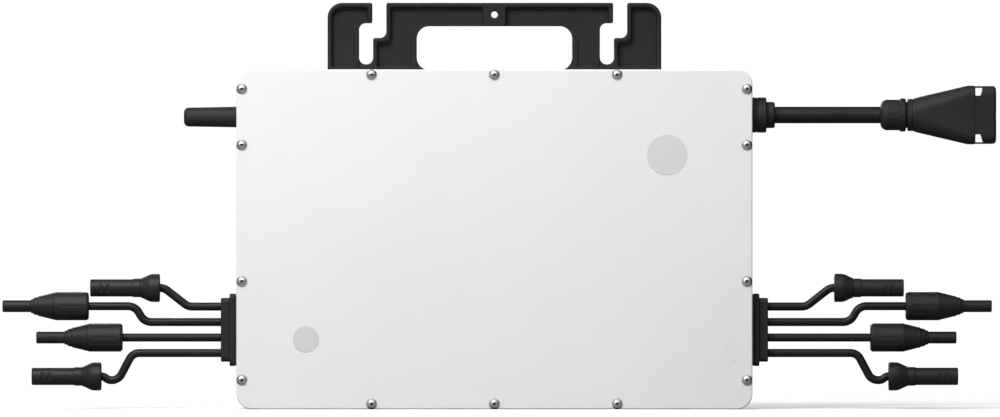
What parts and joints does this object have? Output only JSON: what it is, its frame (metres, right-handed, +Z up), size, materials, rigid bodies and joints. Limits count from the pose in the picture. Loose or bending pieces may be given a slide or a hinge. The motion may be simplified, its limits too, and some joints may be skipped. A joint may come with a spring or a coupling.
{
  "type": "module-level solar inverter",
  "caption": "Flat module-level solar inverter: white cast casing with a screwed cover, a black hanging bracket, solar leads at both sides, a grid lead with a coupler and a stub antenna.",
  "frame": {"origin": "centre of the bracket's fixing hole, at the rear plane", "axes": "+Z up, the cover faces -Y, +X towards the grid lead"},
  "size_m": [0.6382, 0.0367, 0.2612],
  "materials": {
    "white_paint": "fine-textured powder coat",
    "bracket_plastic": "moulded, fine texture",
    "black_plastic": "moulded, satin",
    "connector_plastic": "moulded, satin",
    "cable_jacket": "extruded, soft sheen",
    "seal_rubber": "moulded",
    "steel": "polished stainless",
    "label_film": "matt film",
    "lens_plastic": "frosted",
    "tin": "tin plated",
    "board": "solder mask",
    "ferrite": "sintered ferrite",
    "copper": "enamelled wire",
    "capacitor_can": "sleeved",
    "film_case": "satin",
    "epoxy": "satin",
    "relay_case": "satin",
    "shield_can": "tin plated",
    "terminal_plastic": "satin",
    "resin": "cured resin"
  },
  "bodies": {
    "casing": {"rear_housing": "white_paint", "front_cover": "white_paint", "cover_seal": "seal_rubber", "cover_screws": "steel", "hanging_bracket": "bracket_plastic", "bracket_screws": "steel", "blank_label": "label_film", "status_lens": "lens_plastic", "antenna_cover": "black_plastic", "antenna_rod": "tin", "antenna_nut": "steel", "pv_glands": "black_plastic", "pv_gland_seals": "seal_rubber", "pv_tails": "cable_jacket", "ac_gland": "black_plastic", "ac_gland_nut": "steel", "ac_tail": "cable_jacket", "main_board": "board", "board_screws": "steel", "transformer_cores": "ferrite", "transformer_windings": "copper", "input_capacitors": "capacitor_can", "film_capacitors": "film_case", "power_transistors": "epoxy", "grid_relays": "relay_case", "line_chokes": "ferrite", "control_board": "board", "radio_module": "shield_can", "terminal_blocks": "terminal_plastic", "potting_layer": "resin"},
    "pv_lead_1_swing": {"pv_lead_1": "cable_jacket", "pv_connector_1": "connector_plastic", "pv_cap_nut_1": "connector_plastic"},
    "pv_lead_2_swing": {"pv_lead_2": "cable_jacket", "pv_connector_2": "connector_plastic", "pv_cap_nut_2": "connector_plastic"},
    "pv_lead_3_swing": {"pv_lead_3": "cable_jacket", "pv_connector_3": "connector_plastic", "pv_cap_nut_3": "connector_plastic"},
    "pv_lead_4_swing": {"pv_lead_4": "cable_jacket", "pv_connector_4": "connector_plastic", "pv_cap_nut_4": "connector_plastic"},
    "pv_lead_5_swing": {"pv_lead_5": "cable_jacket", "pv_connector_5": "connector_plastic", "pv_cap_nut_5": "connector_plastic"},
    "pv_lead_6_swing": {"pv_lead_6": "cable_jacket", "pv_connector_6": "connector_plastic", "pv_cap_nut_6": "connector_plastic"},
    "pv_lead_7_swing": {"pv_lead_7": "cable_jacket", "pv_connector_7": "connector_plastic", "pv_cap_nut_7": "connector_plastic"},
    "pv_lead_8_swing": {"pv_lead_8": "cable_jacket", "pv_connector_8": "connector_plastic", "pv_cap_nut_8": "connector_plastic"},
    "ac_lead_swing": {"ac_cable": "cable_jacket", "ac_cap_nut": "black_plastic", "ac_coupler": "black_plastic", "ac_contacts": "tin", "ac_latch_upper": "black_plastic", "ac_latch_lower": "black_plastic"}
  },
  "joints": [
    {"name": "pv_lead_1_flex", "type": "hinge", "parent": "casing", "child": "pv_lead_1_swing", "pos_m": [-0.1867, -0.0193, -0.18777], "axis": [0, 0, 1], "range_deg": [-60, 60]},
    {"name": "pv_lead_2_flex", "type": "hinge", "parent": "casing", "child": "pv_lead_2_swing", "pos_m": [-0.1867, -0.0193, -0.19773], "axis": [0, 0, 1], "range_deg": [-60, 60]},
    {"name": "pv_lead_3_flex", "type": "hinge", "parent": "casing", "child": "pv_lead_3_swing", "pos_m": [-0.1867, -0.0193, -0.20767], "axis": [0, 0, 1], "range_deg": [-60, 60]},
    {"name": "pv_lead_4_flex", "type": "hinge", "parent": "casing", "child": "pv_lead_4_swing", "pos_m": [-0.1867, -0.0193, -0.21763], "axis": [0, 0, 1], "range_deg": [-60, 60]},
    {"name": "pv_lead_5_flex", "type": "hinge", "parent": "casing", "child": "pv_lead_5_swing", "pos_m": [0.1867, -0.0193, -0.18777], "axis": [0, 0, -1], "range_deg": [-60, 60]},
    {"name": "pv_lead_6_flex", "type": "hinge", "parent": "casing", "child": "pv_lead_6_swing", "pos_m": [0.1867, -0.0193, -0.19773], "axis": [0, 0, -1], "range_deg": [-60, 60]},
    {"name": "pv_lead_7_flex", "type": "hinge", "parent": "casing", "child": "pv_lead_7_swing", "pos_m": [0.1867, -0.0193, -0.20767], "axis": [0, 0, -1], "range_deg": [-60, 60]},
    {"name": "pv_lead_8_flex", "type": "hinge", "parent": "casing", "child": "pv_lead_8_swing", "pos_m": [0.1867, -0.0193, -0.21763], "axis": [0, 0, -1], "range_deg": [-60, 60]},
    {"name": "ac_lead_flex", "type": "hinge", "parent": "casing", "child": "ac_lead_swing", "pos_m": [0.1962, -0.0193, -0.0647], "axis": [0, 0, -1], "range_deg": [-45, 45]}
  ]
}
